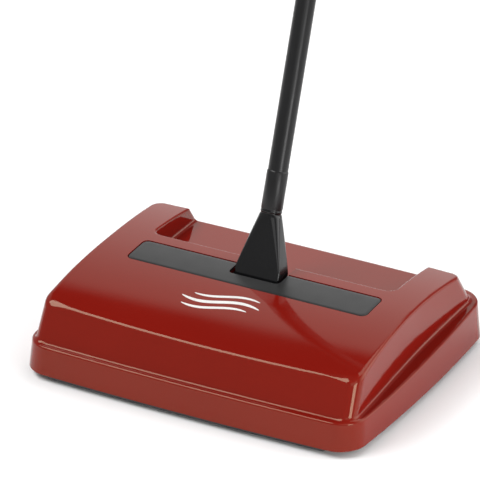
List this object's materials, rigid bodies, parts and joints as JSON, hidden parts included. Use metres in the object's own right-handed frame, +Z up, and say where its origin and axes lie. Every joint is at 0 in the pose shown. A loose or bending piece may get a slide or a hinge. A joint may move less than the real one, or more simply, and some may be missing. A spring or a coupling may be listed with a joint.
{
  "type": "carpet sweeper",
  "caption": "Low moulded push sweeper on wheels, with a roller brush, drop-down dust pans and a long tilting handle with a grip.",
  "frame": {"origin": "on the floor, under the centre of the overall box (body and leaning handle)", "axes": "+Z up, front of the body towards -Y, handle leans towards +Y, +X to the right when seen from the front"},
  "size_m": [0.3, 0.4916, 1.0901],
  "materials": {
    "red_shell": "glossy moulded ABS",
    "grey_inlay": "satin dark grey inlay",
    "black_gloss": "gloss black moulding",
    "black_moulding": "fine-textured black moulding",
    "tube_paint": "satin black powder coat over steel",
    "grip_plastic": "soft matt black moulding",
    "bright_steel": "bright drawn steel",
    "beech": "turned beech",
    "bristle": "black nylon bristle",
    "drive_rubber": "ground rubber",
    "tyre_rubber": "moulded rubber",
    "hub_plastic": "dark grey moulding",
    "pan_plastic": "dark charcoal moulding"
  },
  "bodies": {
    "body": {"cover": "red_shell", "handle_panel": "grey_inlay", "chassis": "black_moulding", "body_screws": "bright_steel", "bristle_comb": "black_moulding", "front_pan_rod": "bright_steel", "rear_pan_rod": "bright_steel", "wheel_axles": "bright_steel", "pivot_bracket": "black_moulding", "bracket_screws": "bright_steel", "pivot_pin": "bright_steel"},
    "handle": {"handle_socket": "black_gloss", "button_spring": "bright_steel", "lower_tube": "tube_paint", "middle_tube": "tube_paint", "upper_tube": "tube_paint", "grip": "grip_plastic"},
    "button": {"lock_button": "black_gloss"},
    "brush": {"brush_core": "beech", "brush_bristles": "bristle", "brush_spindle": "bright_steel", "drive_disc_left": "drive_rubber", "drive_disc_right": "drive_rubber"},
    "front_pan": {"front_dust_pan": "pan_plastic"},
    "rear_pan": {"rear_dust_pan": "pan_plastic"},
    "wheel_front_left": {"wheel_hub_front_left": "hub_plastic", "tyre_front_left": "tyre_rubber"},
    "wheel_front_right": {"wheel_hub_front_right": "hub_plastic", "tyre_front_right": "tyre_rubber"},
    "wheel_rear_left": {"wheel_hub_rear_left": "hub_plastic", "tyre_rear_left": "tyre_rubber"},
    "wheel_rear_right": {"wheel_hub_rear_right": "hub_plastic", "tyre_rear_right": "tyre_rubber"}
  },
  "joints": [
    {"name": "handle_tilt", "type": "hinge", "parent": "body", "child": "handle", "pos_m": [0, -0.1204, 0.061], "axis": [-1, 0, 0], "range_deg": [-19.2, 60]},
    {"name": "lock_button_press", "type": "slide", "parent": "handle", "child": "button", "axis": [0, -0.9444, 0.3289], "range_m": [0, 0.0028], "stiffness_N_per_m": 400, "springref_m": -0.004, "deforming": ["button_spring"]},
    {"name": "brush_spin", "type": "hinge", "parent": "body", "child": "brush", "pos_m": [0, -0.12579, 0.0225], "axis": [1, 0, 0], "continuous": true},
    {"name": "front_pan_drop", "type": "hinge", "parent": "body", "child": "front_pan", "pos_m": [0, -0.22779, 0.0085], "axis": [-1, 0, 0], "range_deg": [0, 65]},
    {"name": "rear_pan_drop", "type": "hinge", "parent": "body", "child": "rear_pan", "pos_m": [0, -0.0238, 0.0085], "axis": [1, 0, 0], "range_deg": [0, 65]},
    {"name": "wheel_front_left_spin", "type": "hinge", "parent": "body", "child": "wheel_front_left", "pos_m": [-0.118, -0.16309, 0.022], "axis": [1, 0, 0], "continuous": true},
    {"name": "wheel_front_right_spin", "type": "hinge", "parent": "body", "child": "wheel_front_right", "pos_m": [0.118, -0.16309, 0.022], "axis": [1, 0, 0], "continuous": true},
    {"name": "wheel_rear_left_spin", "type": "hinge", "parent": "body", "child": "wheel_rear_left", "pos_m": [-0.118, -0.0885, 0.022], "axis": [1, 0, 0], "continuous": true},
    {"name": "wheel_rear_right_spin", "type": "hinge", "parent": "body", "child": "wheel_rear_right", "pos_m": [0.118, -0.0885, 0.022], "axis": [1, 0, 0], "continuous": true}
  ],
  "couplings": [
    {"joint": "wheel_front_left_spin", "follows": "brush_spin", "ratio": -0.68182},
    {"joint": "wheel_front_right_spin", "follows": "brush_spin", "ratio": -0.68182},
    {"joint": "wheel_rear_left_spin", "follows": "brush_spin", "ratio": -0.68182},
    {"joint": "wheel_rear_right_spin", "follows": "brush_spin", "ratio": -0.68182}
  ]
}
